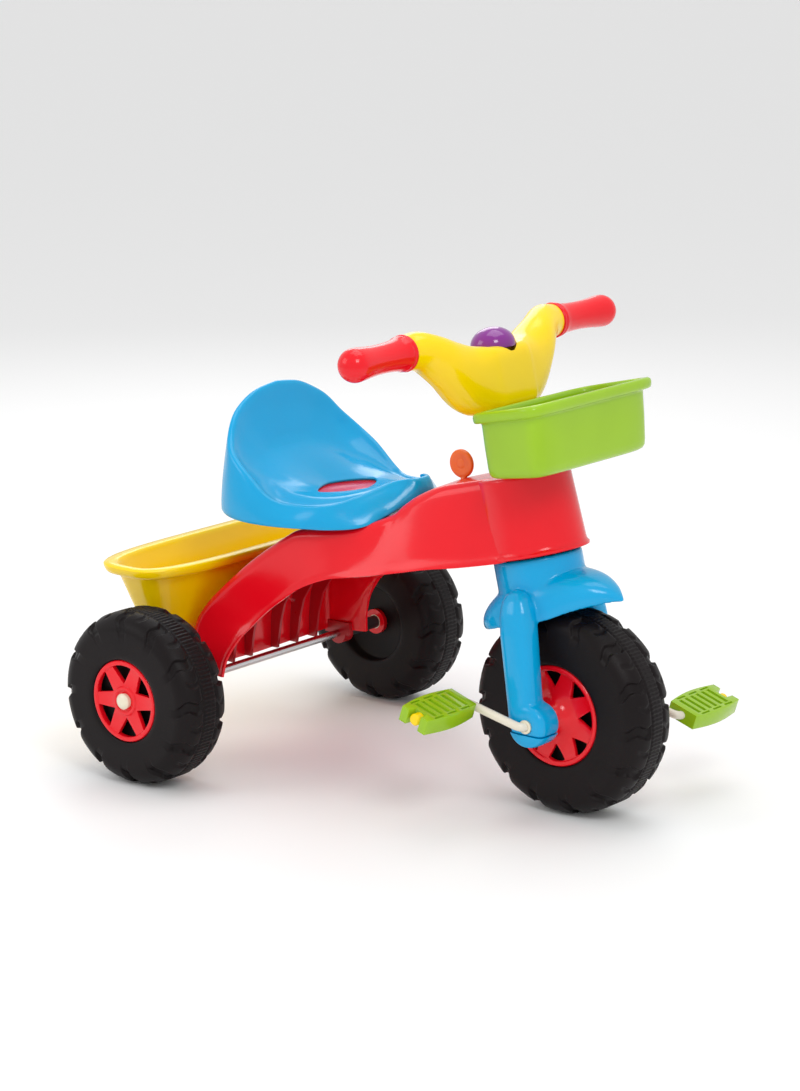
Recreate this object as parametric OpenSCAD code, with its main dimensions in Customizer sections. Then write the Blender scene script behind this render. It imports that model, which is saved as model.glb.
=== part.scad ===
// Children's tricycle: moulded frame, bucket seat, raked fork with a pedal
// crank in the front wheel, bull-horn handlebar, front basket and rear tub.
// X points forward, Y to the rider's left, Z up; the tyres stand on Z = 0.

/* [Wheels] */
// Distance between the front and the rear axle
wheelbase = 462; // [458:1:466]
// Radius of each rear tyre
rear_r = 105; // [104:0.5:106]
// Radius of the front tyre
front_r = 120; // [119:0.5:121]
// Width of each tyre
tyre_w = 78; // [74:1:80]
// Distance between the mid planes of the rear tyres
rear_track = 460; // [458:1:464]

/* [Steering] */
// Lean of the steering axis from vertical, in degrees
rake = 13.7; // [13:0.1:14.5]
// How far the steering axis passes behind the front axle
fork_offset = 10; // [9:0.5:11]
// Height of the middle of the handlebar ends above the floor
bar_z = 542; // [540:1:545]
// Length of each hand grip
grip_len = 112; // [100:1:116]

/* [Pedals] */
// Distance from the wheel axle to a pedal spindle
crank_throw = 82; // [78:1:86]
// Angle by which the right crank points above the rear horizontal
crank_angle = 12; // [8:1:16]
// Nose-down tilt of the pedals
pedal_tilt = 18; // [14:1:22]

/* [Containers] */
// Height of the rear tub's rim above the floor
tub_rim_z = 246; // [243:1:248]
// Depth of the rear tub
tub_depth = 105; // [100:1:108]
// Depth of the front basket
basket_depth = 79; // [74:1:79]

/* [Hidden] */
$fn = 64;
wall = 3.5;
gap = 0.3;
fit = 0.05;

rear_x = -227;
front_x = rear_x + wheelbase;
axle_r = 5;
tyre_half = tyre_w / 2;
wheel_y = rear_track / 2;

// ---------------------------------------------------------------- helpers
function lerp(a, b, t) = a + (b - a) * t;

// Catmull-Rom point on a list of stations, at parameter s from 0 to len - 1
function clamp_i(i, n) = max(0, min(n - 1, i));
function spline(list, s) =
    let (n = len(list), i = min(floor(s), n - 2), t = s - i,
         a = list[clamp_i(i - 1, n)], b = list[i],
         c = list[i + 1], d = list[clamp_i(i + 2, n)])
    0.5 * (2 * b + (c - a) * t + (2 * a - 5 * b + 4 * c - d) * t * t
           + (3 * b - a - 3 * c + d) * t * t * t);
function resample(list, count) =
    [for (k = [0:count]) spline(list, k * (len(list) - 1) / count)];

function flip_y(p) = [p[0], -p[1], p[2]];
function reverse(list) = [for (k = [len(list) - 1:-1:0]) list[k]];
// A closed loop from one half: its mirrored points follow in reverse order
function whole(half) =
    concat(half, [for (k = [len(half) - 2:-1:1]) flip_y(half[k])]);

// Point of a superellipse with half axes a and b
function super_pt(a, b, n, t) =
    [a * sign(cos(t)) * pow(abs(cos(t)), 2 / n),
     b * sign(sin(t)) * pow(abs(sin(t)), 2 / n)];

// Triangles between two rows of a grid whose rows are n points long
function band(r0, r1, n, closed) =
    [for (i = [0:closed ? n - 1 : n - 2])
        let (a = r0 * n + i, b = r0 * n + (i + 1) % n,
             c = r1 * n + (i + 1) % n, d = r1 * n + i)
        each [[a, c, b], [a, d, c]]];

// Solid from closed rings, with a flat cap at each end
module loft(rings) {
    n = len(rings[0]);
    m = len(rings);
    polyhedron(
        points = [for (r = rings) each r],
        faces = concat(
            [for (j = [0:m - 2]) each band(j, j + 1, n, true)],
            [[for (i = [0:n - 1]) i]],
            [[for (i = [n - 1:-1:0]) (m - 1) * n + i]]));
}

// Solid from closed rings that run round and come back to the first one
module ring_loft(rings) {
    n = len(rings[0]);
    m = len(rings);
    polyhedron(
        points = [for (r = rings) each r],
        faces = [for (j = [0:m - 1]) each band(j, (j + 1) % m, n, true)]);
}

// Inward offset of a grid of points by a wall thickness
function unit(v) = v / norm(v);
function grid_normal(g, j, i) =
    let (m = len(g), n = len(g[0]))
    unit(cross(g[j][min(i + 1, n - 1)] - g[j][max(i - 1, 0)],
               g[min(j + 1, m - 1)][i] - g[max(j - 1, 0)][i]));
function grid_offset(g, t) =
    [for (j = [0:len(g) - 1]) [for (i = [0:len(g[0]) - 1]) g[j][i] - t * grid_normal(g, j, i)]];

// Sheet with a wall thickness from an open grid of outer points
module sheet(outer, t) {
    inner = grid_offset(outer, t);
    n = len(outer[0]);
    m = len(outer);
    off = n * m;
    polyhedron(
        points = concat([for (r = outer) each r], [for (r = inner) each r]),
        faces = concat(
            [for (j = [0:m - 2]) each band(j, j + 1, n, false)],
            [for (j = [0:m - 2], i = [0:n - 2])
                let (a = off + j * n + i, b = a + 1, c = b + n, d = a + n)
                each [[a, b, c], [a, c, d]]],
            [for (j = [0:m - 2])
                let (a = j * n, b = a + n)
                each [[a, off + b, b], [a, off + a, off + b]]],
            [for (j = [0:m - 2])
                let (a = j * n + n - 1, b = a + n)
                each [[a, b, off + b], [a, off + b, off + a]]],
            [for (i = [0:n - 2])
                let (a = i, b = i + 1)
                each [[a, b, off + b], [a, off + b, off + a]]],
            [for (i = [0:n - 2])
                let (a = (m - 1) * n + i, b = a + 1)
                each [[a, off + b, b], [a, off + a, off + b]]]));
}

// Cylinder along Y between two Y values
module y_cyl(r, y0, y1) {
    translate([0, y0, 0])
        rotate([-90, 0, 0])
            cylinder(r = r, h = y1 - y0);
}

// Frames: the front axle's middle, and the steering axis with Z along it
module at_front_axle() {
    translate([front_x, 0, front_r])
        children();
}
module at_steering() {
    translate([front_x, 0, front_r])
        rotate([0, -rake, 0])
            translate([-fork_offset, 0, 0])
                children();
}
module at_rear_axle() {
    translate([rear_x, 0, rear_r])
        children();
}
module side(s) {
    mirror([0, s < 0 ? 1 : 0, 0])
        children();
}

// -------------------------------------------------------------- frame body
// Stations along one side from the head to the bottom of the rear sheet:
// shoulder, lower edge, and height and place of the sheet's middle line
shoulder_pts = [
    [154, 48, 389], [139, 48, 386], [112, 51, 379], [76, 55, 369], [47, 56, 355],
    [28, 57, 343], [12, 64, 328], [-20, 81, 313], [-60, 94, 306], [-97, 101, 300],
    [-119, 104, 289], [-166, 110, 256], [-204, 116, 222], [-229, 124, 194],
    [-243, 128, 169], [-247, 131, 140], [-248, 132, 109],
];
edge_pts = [
    [182, 57, 300], [166, 61, 294], [120, 70, 284], [80, 77, 277], [44, 84, 269],
    [20, 90, 264], [0, 94, 260], [-28, 97, 254], [-51, 98, 249], [-75, 100, 240],
    [-97, 102, 229], [-120, 105, 212], [-141, 108, 195], [-157, 114, 178],
    [-170, 122, 162.5], [-183, 132, 136.5], [-187, 137, 113],
];
middle_pts = [
    [117, 0, 382], [110, 0, 381], [96, 0, 378], [72, 0, 371], [47, 0, 360],
    [28, 0, 348], [11, 0, 334], [-20, 0, 319], [-60, 0, 313], [-97, 0, 306],
    [-122, 0, 293], [-168, 0, 259], [-206, 0, 225], [-232, 0, 196],
    [-248, 0, 171], [-253, 0, 140], [-254, 0, 104],
];
body_steps = 36;
corner_steps = 5;

// Quarter bend between two straight runs, around the corner point
function bend(a, corner, b, steps) =
    [for (k = [0:steps])
        let (t = k / steps)
        (1 - t) * (1 - t) * a + 2 * t * (1 - t) * corner + t * t * b];
function body_half(e, s, m) =
    concat([e, lerp(e, s, 0.4)],
           bend(lerp(e, s, 0.8), s, lerp(s, m, 0.2), corner_steps),
           [lerp(s, m, 0.6), m]);
function body_ring(e, s, m) =
    let (h = body_half(e, s, m))
    concat([for (p = h) flip_y(p)], [for (k = [len(h) - 2:-1:0]) h[k]]);
body_grid =
    let (e = resample(edge_pts, body_steps), s = resample(shoulder_pts, body_steps),
         m = resample(middle_pts, body_steps))
    [for (j = [0:body_steps]) body_ring(e[j], s[j], m[j])];

module frame_body() {
    color("red")
        difference() {
            sheet(body_grid, wall);
            at_key()
                translate([0, 0, -10])
                    cylinder(r = 4 + gap, h = 20);
        }
}

// Conical steering head with a lip, a closed top and an inner tube
head_w0 = 187;
head_w1 = 281;
head_r0 = 60;
head_r1 = 56;
column_r = 13;
bush_r = 18;
tube_r = 25;
module frame_head() {
    color("red")
        at_steering()
            rotate_extrude()
                polygon([
                    [bush_r, head_w0 + 4], [tube_r, head_w0 + 4],
                    [tube_r, head_w1 - wall - 3], [tube_r + 3, head_w1 - wall],
                    [head_r1 - wall, head_w1 - wall], [head_r0 - wall, head_w0 + 5],
                    [head_r0 - wall, head_w0], [head_r0 + 2.5, head_w0],
                    [head_r0 + 2.5, head_w0 + 4], [head_r0, head_w0 + 5],
                    [head_r1, head_w1 - 4], [head_r1 - 4, head_w1],
                    [bush_r, head_w1],
                ]);
}

// Upright ribs inside the rear sheet and the bosses that hold the axle
rib_t = 4;
rib_y = [-95, -60, -25, 25, 60, 95];
boss_y0 = 126;
boss_y1 = 142;
module rib(y) {
    crown = 6 * (1 - abs(y) / 131);
    translate([-crown, y + rib_t / 2, 0])
        rotate([90, 0, 0])
            linear_extrude(rib_t)
                polygon([
                    [-247, 106], [-246, 140], [-241, 169], [-225, 193], [-198, 223],
                    [-184, 211], [-206, 190], [-222, 165], [-229, 140], [-234, 106],
                ]);
}
module frame_ribs() {
    color("firebrick")
        difference() {
            union() {
                for (y = rib_y)
                    rib(y);
                for (s = [-1, 1])
                    side(s)
                        at_rear_axle() {
                            y_cyl(13, boss_y0, boss_y1);
                            translate([-20, boss_y0, 0])
                                cube([40, 6, 16]);
                        }
            }
            at_rear_axle()
                y_cyl(axle_r, -wheel_y, wheel_y);
        }
}

module head_bush(w, up) {
    at_steering()
        translate([0, 0, w])
            rotate_extrude()
                polygon([
                    [column_r + fit, 0], [bush_r, 0], [bush_r, 14 * up],
                    [bush_r + 6, 14 * up], [bush_r + 6, 17 * up],
                    [column_r + fit, 17 * up],
                ]);
}
module head_bush_upper() {
    color("ivory")
        head_bush(head_w1 - 14, 1);
}
module head_bush_lower() {
    color("ivory")
        head_bush(head_w0 + 18, -1);
}

// -------------------------------------------------------------------- seat
// Half outlines from the nose round to the middle of the back: the line
// where the pan starts to rise, the rim, and the lower edge of the skirt
seat_centre = [-104, 0, 339];
pan_pts = [
    [-3, 0, 360], [-6, 9, 359.5], [-16, 19, 356], [-33, 42, 348], [-60, 64, 341],
    [-90, 80, 339], [-120, 86, 341], [-144, 84, 346], [-164, 76, 353],
    [-177, 66, 361], [-186, 52, 368], [-192, 36, 373], [-195, 18, 376], [-196, 0, 377],
];
rim_pts = [
    [13, 0, 362], [11, 12, 362], [1, 21, 361], [-14, 34, 356], [-32, 66, 344], [-57, 99, 334],
    [-98, 108, 331], [-126, 119, 338], [-157, 122, 362], [-185, 117, 383],
    [-200, 104, 401], [-209, 87, 421], [-214, 67, 434], [-216, 38, 446], [-217, 0, 451],
];
skirt_pts = [
    [19, 0, 345], [16, 16, 341], [9, 32, 334], [-1, 54, 323], [-15, 82, 313], [-44, 105, 310],
    [-74, 116, 309], [-104, 124, 308], [-132, 130, 308], [-162, 130, 308], [-188, 124, 309],
    [-209, 112, 312], [-220, 94, 315], [-227, 71, 318], [-231, 38, 319], [-232, 0, 319],
];
seat_steps = 26;
opening_x = 30;
opening_y = 50;
function opening_pts(grow, z) =
    [for (k = [0:seat_steps])
        let (t = 180 * k / seat_steps)
        seat_centre + [(opening_x + grow) * cos(t), (opening_y + grow) * sin(t), z]];
function mix(a, b, t) = [for (k = [0:len(a) - 1]) lerp(a[k], b[k], t)];
function shift(a, v) = [for (p = a) p + v];
// Outline moved towards the seat's middle by a distance, and down by dz
function draw_in(a, d, dz) =
    [for (p = a)
        let (v = [p[0] - seat_centre[0], p[1], 0])
        p - d * v / norm(v) - [0, 0, dz]];

module seat() {
    pan = resample(pan_pts, seat_steps);
    rim = resample(rim_pts, seat_steps);
    skirt = resample(skirt_pts, seat_steps);
    halves = [
        opening_pts(0, 0),
        mix(opening_pts(4, 0.5), pan, 0.5),
        pan,
        shift(mix(pan, rim, 0.5), [0, 0, -3]),
        draw_in(rim, 3, -1),
        draw_in(rim, 0, -2),
        draw_in(rim, -3, 1),
        draw_in(mix(rim, skirt, 0.5), -3, 0),
        skirt,
        draw_in(skirt, wall, 0),
        draw_in(mix(rim, skirt, 0.5), 1, 0),
        draw_in(rim, 2, 4),
        shift(mix(pan, rim, 0.5), [0, 0, -3 - wall]),
        shift(pan, [0, 0, -wall]),
        shift(mix(opening_pts(4, 0.5), pan, 0.5), [0, 0, -wall]),
        opening_pts(0, -wall),
    ];
    color("deepskyblue")
        ring_loft([for (h = reverse(halves)) whole(h)]);
}

// Hollow platform on the frame that carries the pan and closes its opening
platform_z = seat_centre[2] - wall - 0.2;
module platform_shape(grow) {
    translate([seat_centre[0], 0])
        polygon([for (k = [0:47])
            let (t = 7.5 * k)
            [(opening_x + grow) * cos(t), (opening_y + grow) * sin(t)]]);
}
module seat_platform() {
    color("red")
        difference() {
            translate([0, 0, 262])
                linear_extrude(platform_z - 262)
                    platform_shape(7);
            translate([0, 0, 261])
                linear_extrude(platform_z - 261 - wall)
                    platform_shape(7 - wall);
        }
}
seat_screw_at = [[-2, 0, 337], [-66, 0, 320], [-140, 0, 320]];
module seat_screws() {
    color("silver")
        for (p = seat_screw_at)
            translate(p) {
                cylinder(r = 2.5, h = 17);
                translate([0, 0, -3])
                    cylinder(r = 5, h = 3);
            }
}

// ---------------------------------------------------------------- rear tub
tub_x = -289;
tub_y = 206;
tub_a = 66;
tub_n = 3.4;
lip = 13;
function tub_ring(grow, drop) =
    let (a = tub_a + grow - drop * 0.22, b = tub_y + grow - drop * 0.45)
    [for (k = [0:47])
        let (p = super_pt(a, b, tub_n, k * 7.5))
        [tub_x + p[0] + drop * 0.02, p[1], tub_rim_z - drop]];
module rear_tub() {
    color("gold")
        loft([
            tub_ring(-lip - 6, tub_depth),
            tub_ring(-lip, tub_depth - 6),
            tub_ring(-lip, 14),
            tub_ring(-4, 12),
            tub_ring(-2, 12),
            tub_ring(0, 3),
            tub_ring(-3, 0),
            tub_ring(-lip - wall, 0),
            tub_ring(-lip - wall - 2, 4),
            tub_ring(-lip - wall, tub_depth - 8),
            tub_ring(-lip - wall - 5, tub_depth - wall),
        ]);
}
module rear_tub_screws() {
    color("silver")
        for (y = [-60, 60])
            translate([-264, y, 160])
                rotate([0, 90, 0])
                    cylinder(r = 3, h = 24);
}

// -------------------------------------------------------------- rear wheels
hub_r = 50;
recess = 16;
sleeve_r = 12;
bush_hole = axle_r + 4;
flange_y = tyre_half - recess + 6;

// Tyre body of revolution about Y with a hub recess on both faces
tyre_wall = 4;
function tyre_arc(r, in, sy) =
    [for (k = [0:6])
        let (a = 15 * k)
        [r - 22 + (22 - in) * sin(a), sy * (tyre_half - 26 + (26 - in) * cos(a))]];
module tyre(r, hub, hole) {
    web = tyre_half - recess;
    rotate([90, 0, 0])
        rotate_extrude()
            difference() {
                polygon(concat(
                    [[hole, -web], [hub, -web], [hub, -tyre_half + 3], [hub + 3, -tyre_half]],
                    tyre_arc(r, 0, -1), reverse(tyre_arc(r, 0, 1)),
                    [[hub + 3, tyre_half], [hub, tyre_half - 3], [hub, web], [hole, web]]));
                polygon(concat(
                    [[hole + tyre_wall, tyre_wall - web], [hub + tyre_wall, tyre_wall - web],
                     [hub + tyre_wall, tyre_wall - tyre_half]],
                    tyre_arc(r, tyre_wall, -1), reverse(tyre_arc(r, tyre_wall, 1)),
                    [[hub + tyre_wall, tyre_half - tyre_wall], [hub + tyre_wall, web - tyre_wall],
                     [hole + tyre_wall, web - tyre_wall]]));
            }
}

// Hub disc on the +Y face of a wheel, with windows and a sleeve inwards. Each
// window tapers from a half width at the rim to a point at the inner radius
module hub_disc(r, windows, bore, half, inner, turn) {
    difference() {
        rotate([-90, 0, 0])
            rotate_extrude()
                polygon([
                    [bore, 2], [sleeve_r, 2], [sleeve_r, tyre_half - recess + 6],
                    [r - gap, tyre_half - recess + 9], [r - gap, tyre_half - 2],
                    [r - 5, tyre_half - 2], [r - 7, tyre_half - recess + 13],
                    [sleeve_r + 8, tyre_half - recess + 10],
                    [sleeve_r + 2, tyre_half - 2], [bore, tyre_half - 2],
                ]);
        for (k = [0:windows - 1])
            rotate([0, turn + k * 360 / windows, 0])
                rotate([-90, 0, 0])
                    linear_extrude(tyre_half)
                        polygon([[r - 9, -half], [r - 9, half], [inner, 1], [inner, -1]]);
    }
}

module at_rear_wheel(s) {
    side(s)
        translate([rear_x, wheel_y, rear_r])
            children();
}
module rear_tyre(s) {
    color([0.14, 0.12, 0.12])
        at_rear_wheel(s)
            tyre(rear_r, hub_r, sleeve_r);
}
module rear_hub_outer(s) {
    color("red")
        at_rear_wheel(s)
            hub_disc(hub_r, 6, bush_hole, 14.5, 21, 25);
}
// Flanged sleeve on the wheel's inner face, and a spacer on the axle
module rear_hub_inner(s) {
    color("red")
        at_rear_wheel(s)
            rotate([-90, 0, 0])
                rotate_extrude()
                    polygon([
                        [bush_hole, -flange_y], [16, -flange_y], [16, recess - tyre_half - gap],
                        [sleeve_r, recess - tyre_half], [sleeve_r, 1.5], [bush_hole, 1.5],
                    ]);
}
module axle_spacer(s) {
    color("dimgray")
        side(s)
            at_rear_axle()
                rotate([-90, 0, 0])
                    rotate_extrude()
                        polygon([
                            [axle_r, boss_y1], [8, boss_y1],
                            [8, wheel_y - flange_y - gap], [axle_r, wheel_y - flange_y - gap],
                        ]);
}
module rear_bush(s) {
    color("ivory")
        at_rear_wheel(s)
            rotate([-90, 0, 0])
                rotate_extrude()
                    polygon([
                        [axle_r + fit, -flange_y], [bush_hole, -flange_y],
                        [bush_hole, tyre_half - 2], [axle_r + fit, tyre_half - 2],
                    ]);
}
module rear_axle() {
    color("silver")
        at_rear_axle()
            y_cyl(axle_r, -wheel_y - tyre_half + 1, wheel_y + tyre_half - 1);
}
module rear_cap_nut(s) {
    color("ivory")
        at_rear_wheel(s)
            rotate([-90, 0, 0])
                rotate_extrude()
                    polygon(concat(
                        [[0, tyre_half - 1], [axle_r, tyre_half - 1], [axle_r, tyre_half - 1.7],
                         [9, tyre_half - 1.7], [9, tyre_half + 0.5]],
                        [for (k = [1:5]) [9 * cos(15 * k), tyre_half + 0.5 + 3.5 * sin(15 * k)]],
                        [[0, tyre_half + 4]]));
}

// --------------------------------------------------------------------- key
key_at = [74.5, 0, 366];
key_lean = -10;
module at_key() {
    translate(key_at)
        rotate([0, key_lean, 0])
            children();
}
module key_socket() {
    color("firebrick")
        at_key()
            translate([0, 0, -15])
                difference() {
                    cylinder(r = 10, h = 18);
                    translate([0, 0, 2])
                        cylinder(r = 4 + fit, h = 20);
                }
}
module ignition_key() {
    color("darkorange")
        at_key() {
            translate([0, 0, -12.7])
                cylinder(r = 4, h = 19);
            translate([0, 0, 23])
                difference() {
                    y_cyl(17, -3, 3);
                    for (s = [-1, 1])
                        side(s)
                            y_cyl(12, 2, 4);
                }
        }
}

// -------------------------------------------------------------------- fork
foot_r = 24;
foot_in = tyre_half + 18;
foot_out = 93;
crank_bush_r = axle_r + 3;
crown_w0 = 128;
crown_w1 = head_w0 - 2;

module fork_crown() {
    color("deepskyblue")
        at_steering()
            rotate_extrude()
                polygon([
                    [column_r, crown_w0], [column_r + 4, crown_w0],
                    [column_r + 4, crown_w1 - 4], [47, crown_w1 - 4], [47, crown_w0],
                    [49, crown_w0], [52, crown_w0 + 10], [52, crown_w1 - 2],
                    [50, crown_w1], [column_r, crown_w1],
                ]);
}

// Leg sections up the leg: height, set forward, set out, half depth, half width
leg_keys = [
    [8, 0, 75, 20, 17], [60, 4, 71.5, 21, 18], [105, 6, 67, 22, 19],
    [136, 6, 62, 20, 17], [148, 6, 60, 13, 11],
];
module fork_leg(s) {
    color("deepskyblue")
        difference() {
            union() {
                side(s)
                    at_steering()
                        loft([for (q = leg_keys)
                            [for (k = [0:35])
                                let (p = super_pt(q[3], q[4], 2.4, k * 10))
                                [q[1] + p[0], q[2] + p[1], q[0]]]]);
                side(s)
                    at_front_axle()
                        y_cyl(foot_r, foot_in, foot_out);
            }
            side(s)
                at_front_axle() {
                    y_cyl(crank_bush_r, 0, foot_out + 1);
                    translate([-40, 0, -40])
                        cube([80, foot_out + 1, 40 - crank_bush_r - 2]);
                }
        }
}
module fork_foot_cap(s) {
    color("dodgerblue")
        side(s)
            at_front_axle()
                intersection() {
                    y_cyl(foot_r + 1, foot_in, foot_out);
                    translate([-40, 0, -40])
                        cube([80, foot_out + 1, 40 - crank_bush_r - 2 - gap]);
                }
}
module foot_cap_screws() {
    color("silver")
        for (s = [-1, 1], x = [-16, 16])
            side(s)
                at_front_axle()
                    translate([x, (foot_in + foot_out) / 2, -17])
                        cylinder(r = 2, h = 14);
}
module crank_bush(s) {
    color("ivory")
        side(s)
            at_front_axle()
                rotate([-90, 0, 0])
                    rotate_extrude()
                        polygon([
                            [axle_r + fit, foot_in - 1], [crank_bush_r, foot_in - 1],
                            [crank_bush_r, foot_out + 0.5], [axle_r + fit, foot_out + 0.5],
                        ]);
}

// Mudguard: rings across the wheel from the pointed front to the rear lobe,
// each given by its angle about the front axle, crest radius and half width
fender_keys = [
    [64, 157, 3, 154], [67, 161, 10, 150], [72, 165, 23, 141], [80, 168, 38, 129],
    [91, 168, 51, 116], [104, 167, 57, 112], [115, 164, 57, 113],
    [125, 159, 56, 118], [133, 153, 50, 124], [140, 146, 34, 132],
];
fender_steps = 18;
fender_fan = 14;
module fender() {
    keys = resample(fender_keys, fender_steps);
    grid = [for (k = keys)
        [for (i = [0:fender_fan])
            let (t = 180 * i / fender_fan, p = super_pt(k[2], k[1] - k[3], 2.6, t),
                 r = k[3] + p[1])
            [r * cos(k[0]), -p[0], r * sin(k[0])]]];
    color("deepskyblue")
        difference() {
            at_front_axle()
                sheet(grid, wall);
            at_steering()
                translate([0, 0, crown_w0])
                    cylinder(r = column_r + gap, h = 60);
        }
}

module steering_column() {
    color("silver")
        at_steering()
            translate([0, 0, crown_w0 + 4])
                difference() {
                    cylinder(r = column_r, h = 275);
                    translate([0, 0, -1])
                        cylinder(r = column_r - 1.5, h = 277);
                }
}

// --------------------------------------------------------------- handlebar
// Sections across the bar: half span, middle, half depth, half height, squareness
bar_keys = [
    [0, 122.5, 501, 29, 34, 4.8], [26, 122.5, 501, 29, 34, 4.8], [37, 121, 500.5, 29, 36.5, 3.8],
    [52, 119, 501.5, 29, 39, 2.8], [70, 114.5, 509, 29, 38.5, 2.4], [92, 109, 525.5, 26.5, 31, 2.2],
    [116, 99, 540, 23, 23.5, 2.1], [134, 96, 542, 20.5, 20.5, 2], [142, 96, 542, 19.5, 19.5, 2],
];
bar_steps = 14;
function bar_ring(k, shrink, s) =
    [for (i = [0:31])
        let (p = super_pt(k[3] - shrink, k[4] - shrink, k[5], i * 11.25))
        [k[1] + p[0] * cos(rake) - p[1] * sin(rake), s * k[0],
         k[2] + p[0] * sin(rake) + p[1] * cos(rake)]];
function bar_rings(shrink, count) =
    let (keys = resample(bar_keys, bar_steps))
    concat([for (j = [count:-1:1]) bar_ring(keys[j], shrink, 1)],
           [for (j = [0:count]) bar_ring(keys[j], shrink, -1)]);
horn_at = [-8.4, 0, 421];
horn_r = 26.5;
module at_horn() {
    at_steering()
        translate(horn_at)
            children();
}
module handlebar() {
    color("gold")
        difference() {
            loft(bar_rings(0, bar_steps));
            at_horn()
                cylinder(r = horn_r + 0.7, h = 60);
            at_steering()
                translate([0, 0, 300])
                    cylinder(r = column_r, h = 110);
        }
}
module handlebar_bolt() {
    color("silver")
        at_steering()
            translate([-43.2, 0, 378])
                rotate([0, 90, 0]) {
                    cylinder(r = 3, h = 42);
                    cylinder(r = 6, h = 5);
                }
}

grip_sweep = 3;
module at_grip(s) {
    side(s)
        translate([96, 139, bar_z])
            rotate([-90, 0, grip_sweep])
                children();
}
module grip(s) {
    color("red")
        at_grip(s)
            rotate_extrude()
                polygon(concat(
                    [[0, 6], [21, 0], [21.5, 3], [20, 5], [20.5, 8], [19, 12],
                     [17, 30], [16.5, 50], [17.5, 70], [19, grip_len - 18]],
                    [for (k = [1:7])
                        [19 * cos(11.25 * k), grip_len - 18 + 18 * sin(11.25 * k)]],
                    [[0, grip_len]]));
}

// ------------------------------------------------------------ front basket
basket_u = 74;
basket_w = 362;
basket_a = 56;
basket_b = 121;
basket_n = 7;
basket_shear = 0.105;
basket_dip = 0.05;
rim_h = 12;
function basket_ring(grow, drop) =
    let (g = grow - drop * 0.03)
    [for (k = [0:47])
        let (p = super_pt(basket_a + g, basket_b + g, basket_n, k * 7.5))
        [basket_u + p[0] - basket_shear * drop, p[1] * (0.95 + 0.05 * p[0] / basket_a),
         basket_w - drop * (1 + basket_dip * p[0] / basket_a)]];
module front_basket() {
    color("yellowgreen")
        at_steering()
            loft([
                basket_ring(-16, basket_depth),
                basket_ring(-9, basket_depth - 6),
                basket_ring(-8, rim_h),
                basket_ring(-1, rim_h - 1),
                basket_ring(0, 3),
                basket_ring(-3, 0),
                basket_ring(-8 - wall, 0),
                basket_ring(-10 - wall, 3),
                basket_ring(-9 - wall, basket_depth - 7),
                basket_ring(-16 - wall, basket_depth - wall),
            ]);
}
module basket_screws() {
    color("silver")
        at_steering()
            for (w = [312, 336])
                translate([10, 0, w])
                    rotate([0, 90, 0]) {
                        cylinder(r = 2.5, h = 26);
                        translate([0, 0, 24])
                            cylinder(r = 5, h = 3);
                    }
}

// -------------------------------------------------------------------- horn
module horn_spring() {
    color("silver")
        at_horn()
            difference() {
                cylinder(r = 10, h = 7);
                translate([0, 0, -1])
                    cylinder(r = 8, h = 9);
            }
}
module horn_button() {
    color("purple")
        at_horn()
            rotate_extrude()
                polygon(concat(
                    [[0, 12], [23, 12], [23, 5], [horn_r, 5], [horn_r, 10]],
                    [for (k = [1:8]) [horn_r * cos(10 * k), 10 + 21 * sin(10 * k)]],
                    [[0, 31]]));
}

// ------------------------------------------------------------- front wheel
front_hub_r = 60;
module front_tyre() {
    color([0.14, 0.12, 0.12])
        at_front_axle()
            tyre(front_r, front_hub_r, sleeve_r);
}
module front_hub(s) {
    color("red")
        at_front_axle()
            side(s) {
                hub_disc(front_hub_r, 8, axle_r, 11.5, 33, -4);
                rotate([-90, 0, 0])
                    rotate_extrude()
                        polygon([
                            [axle_r, tyre_half - 8], [23, tyre_half - 8], [23, tyre_half - 5],
                            [17, tyre_half + 10], [14, tyre_half + 14], [axle_r, tyre_half + 14],
                        ]);
            }
}
module front_hub_screws() {
    color("silver")
        at_front_axle()
            for (k = [0:3])
                rotate([0, 45 + k * 90, 0])
                    translate([16, 0, 0])
                        y_cyl(2, -30, 30);
}

// Bent rod: axle through the wheel, two arms and two pedal spindles
rod_bend = 6;
arm_y = foot_out + 0.6 + rod_bend;
pedal_y0 = arm_y + rod_bend + 0.4;
notch = 12;
pedal_l = 90;
pedal_w = 48;
pedal_t = 18;
module at_crank(s) {
    side(s)
        at_front_axle()
            rotate([0, s > 0 ? crank_angle : 180 + crank_angle, 0])
                children();
}
// Quarter bend of the rod, from +Y at its start towards +X
module rod_quarter() {
    translate([rod_bend, 0, 0])
        mirror([1, 0, 0])
            rotate_extrude(angle = 90)
                translate([rod_bend, 0])
                    circle(r = axle_r - 0.2);
}
module crank_rod() {
    color("ivory") {
        at_front_axle()
            y_cyl(axle_r, -arm_y + rod_bend - 1, arm_y - rod_bend + 1);
        for (s = [-1, 1])
            at_crank(s) {
                translate([0, arm_y - rod_bend, 0])
                    rod_quarter();
                translate([rod_bend - 1, arm_y, 0])
                    rotate([0, 90, 0])
                        cylinder(r = axle_r, h = crank_throw - 2 * rod_bend + 2);
                translate([crank_throw, arm_y + rod_bend, 0])
                    rotate([0, 0, 180])
                        rod_quarter();
                translate([crank_throw, 0, 0])
                    y_cyl(axle_r, arm_y + rod_bend - 1, pedal_y0 + pedal_l - notch + 6);
            }
    }
}
module at_pedal(s) {
    at_crank(s)
        translate([crank_throw, pedal_y0, 0])
            rotate([0, (s > 0 ? -crank_angle : -180 - crank_angle) + pedal_tilt, 0])
                children();
}
function pedal_side(sx) =
    [for (k = [0:8]) [sx * (pedal_w / 2 - 5 + 5 * sin(22.5 * k)), pedal_l * k / 8]];
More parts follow.
